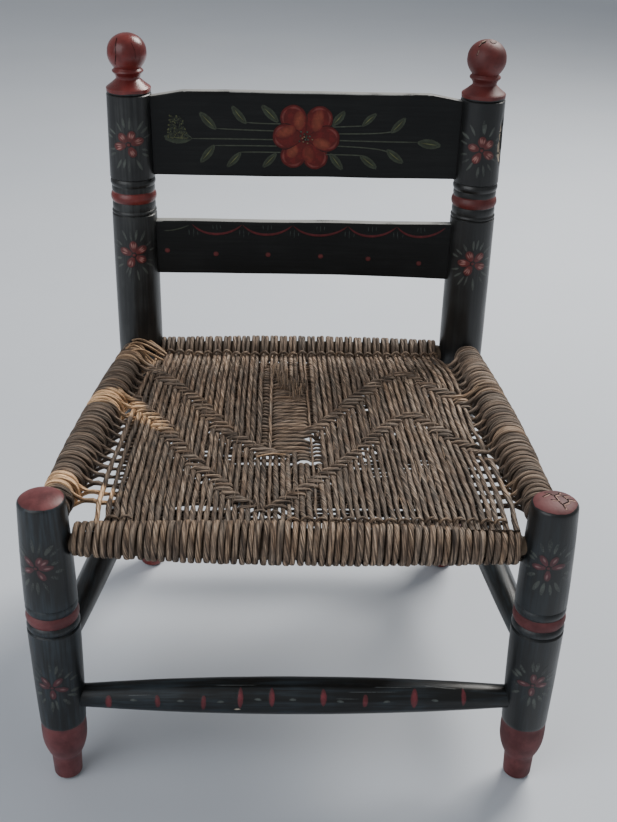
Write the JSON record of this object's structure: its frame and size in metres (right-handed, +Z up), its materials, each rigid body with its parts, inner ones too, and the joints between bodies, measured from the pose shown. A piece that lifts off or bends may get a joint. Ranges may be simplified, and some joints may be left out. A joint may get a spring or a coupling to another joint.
{
  "type": "side chair",
  "caption": "Low ladder-back side chair with turned posts, painted flowers, shaved stretchers and a seat woven from palm cord.",
  "frame": {"origin": "on the floor, midway between the outer faces of the posts", "axes": "+X to the viewer's right, +Y to the back, +Z up"},
  "size_m": [0.4138, 0.3368, 0.5395],
  "materials": {
    "painted_post": "semi-gloss black paint on turned wood, with brick red bands, feet and finials and painted flowers, worn",
    "painted_slat": "semi-gloss black paint with painted flower, stems, swags and dots, worn edges",
    "painted_stretcher": "semi-gloss black paint on a shaved spindle, red dashes on the front one",
    "bare_rail": "unpainted shaved wood, hidden by the cord",
    "palm_cord": "twisted palm fibre cord, grey brown with golden stretches"
  },
  "bodies": {
    "root": {"front_left_post": "painted_post", "front_right_post": "painted_post", "rear_left_post": "painted_post", "rear_right_post": "painted_post", "top_slat": "painted_slat", "lower_slat": "painted_slat", "front_seat_rail": "bare_rail", "front_stretcher": "painted_stretcher", "front_rail_wrap": "palm_cord", "rear_seat_rail": "bare_rail", "rear_stretcher": "painted_stretcher", "rear_rail_wrap": "palm_cord", "left_seat_rail": "bare_rail", "left_stretcher": "painted_stretcher", "left_rail_wrap": "palm_cord", "right_seat_rail": "bare_rail", "right_stretcher": "painted_stretcher", "right_rail_wrap": "palm_cord", "seat_warp_layer": "palm_cord", "seat_weft_layer": "palm_cord"}
  },
  "joints": []
}
